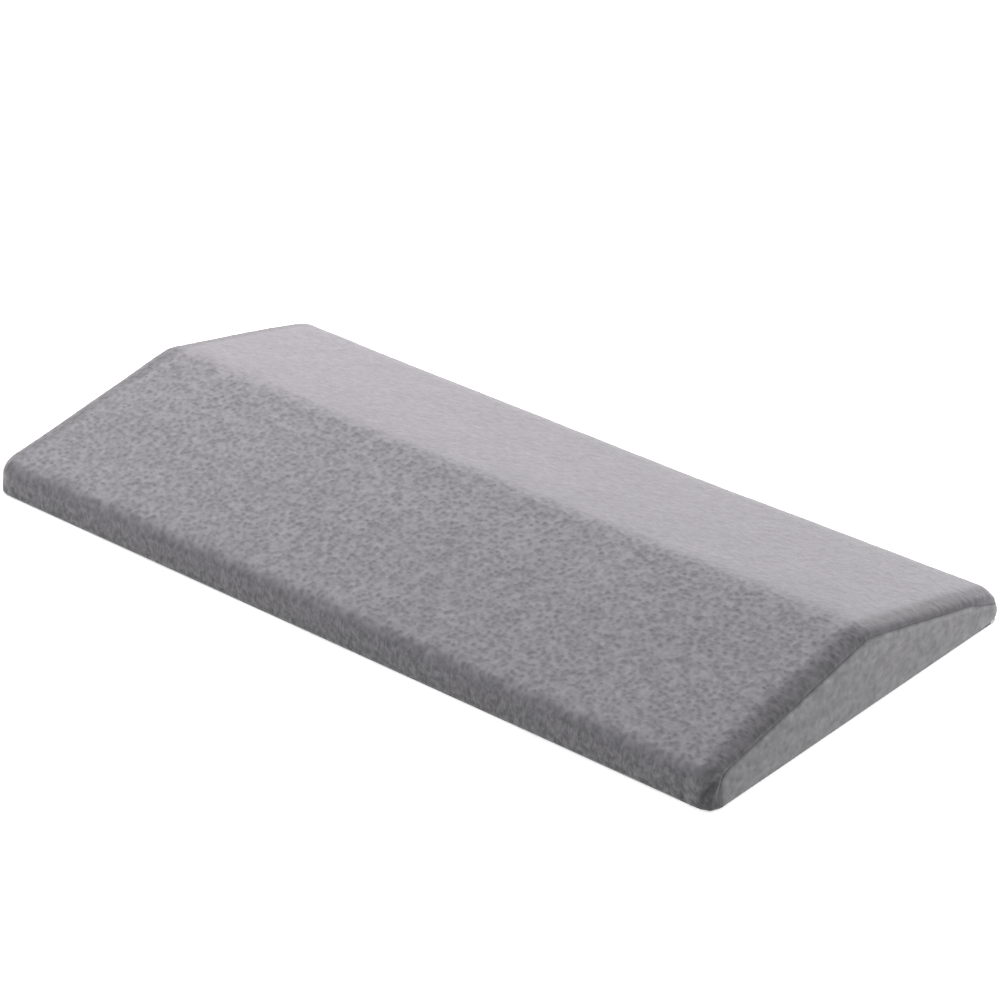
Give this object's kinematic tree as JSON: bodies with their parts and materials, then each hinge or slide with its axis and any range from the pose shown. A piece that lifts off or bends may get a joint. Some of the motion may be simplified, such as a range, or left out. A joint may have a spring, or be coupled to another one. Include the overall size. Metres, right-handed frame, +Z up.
{
  "type": "foam wedge pad",
  "caption": "Low foam wedge pad with a gabled top, a long gentle slope and a short steeper one, in a removable plush cover that zips along the back edge.",
  "frame": {"origin": "centre of the pad's underside, midway between the end faces and midway between the front and back faces", "axes": "+X along the pad's length, +Y from the thick front edge across the ridge to the zippered back edge, +Z up from the floor"},
  "size_m": [0.61, 0.2968, 0.0515],
  "materials": {
    "foam": "open-cell memory foam, matte",
    "liner": "thin knitted polyester, matte",
    "label": "woven satin tape, blank",
    "plush_top": "short-pile plush with small dimples",
    "plush_end": "short-pile plush, smoother",
    "base_cloth": "flat woven polyester",
    "thread_grey": "spun polyester thread",
    "thread_light": "spun polyester thread",
    "zipper_tape": "woven zipper tape",
    "zipper_coil": "nylon coil, semi-gloss",
    "stop_metal": "pressed aluminium",
    "slider_metal": "grey enamel over zinc"
  },
  "bodies": {
    "pad": {"foam_core": "foam", "liner_wrap": "liner", "liner_end_right": "liner", "liner_end_left": "liner", "liner_thread_right": "thread_light", "liner_thread_left": "thread_light", "care_label": "label", "cover_top_panel": "plush_top", "cover_end_panel_right": "plush_end", "cover_end_panel_left": "plush_end", "cover_back_strip": "plush_end", "cover_bottom_panel": "base_cloth", "seam_thread_end_right": "thread_grey", "seam_thread_end_left": "thread_grey", "seam_thread_bottom": "thread_grey", "zipper_tape_upper": "zipper_tape", "zipper_tape_lower": "zipper_tape", "zipper_coil_upper": "zipper_coil", "zipper_coil_lower": "zipper_coil", "zipper_top_stop_upper": "stop_metal", "zipper_top_stop_lower": "stop_metal", "zipper_bottom_stop": "stop_metal", "topstitch_upper": "thread_grey", "topstitch_lower": "thread_grey", "bar_tack_right": "thread_grey", "bar_tack_left": "thread_grey"},
    "zipper_slider": {"slider_body": "slider_metal"},
    "zipper_pull": {"pull_tab": "slider_metal"}
  },
  "joints": [
    {"name": "slider_travel", "type": "slide", "parent": "pad", "child": "zipper_slider", "axis": [1, 0, 0], "range_m": [0, 0.516], "deforming": ["zipper_coil_upper", "zipper_coil_lower"]},
    {"name": "pull_swing", "type": "hinge", "parent": "zipper_slider", "child": "zipper_pull", "pos_m": [-0.2574, 0.14845, 0.0086], "axis": [0, 0, 1], "range_deg": [0, 175]}
  ]
}
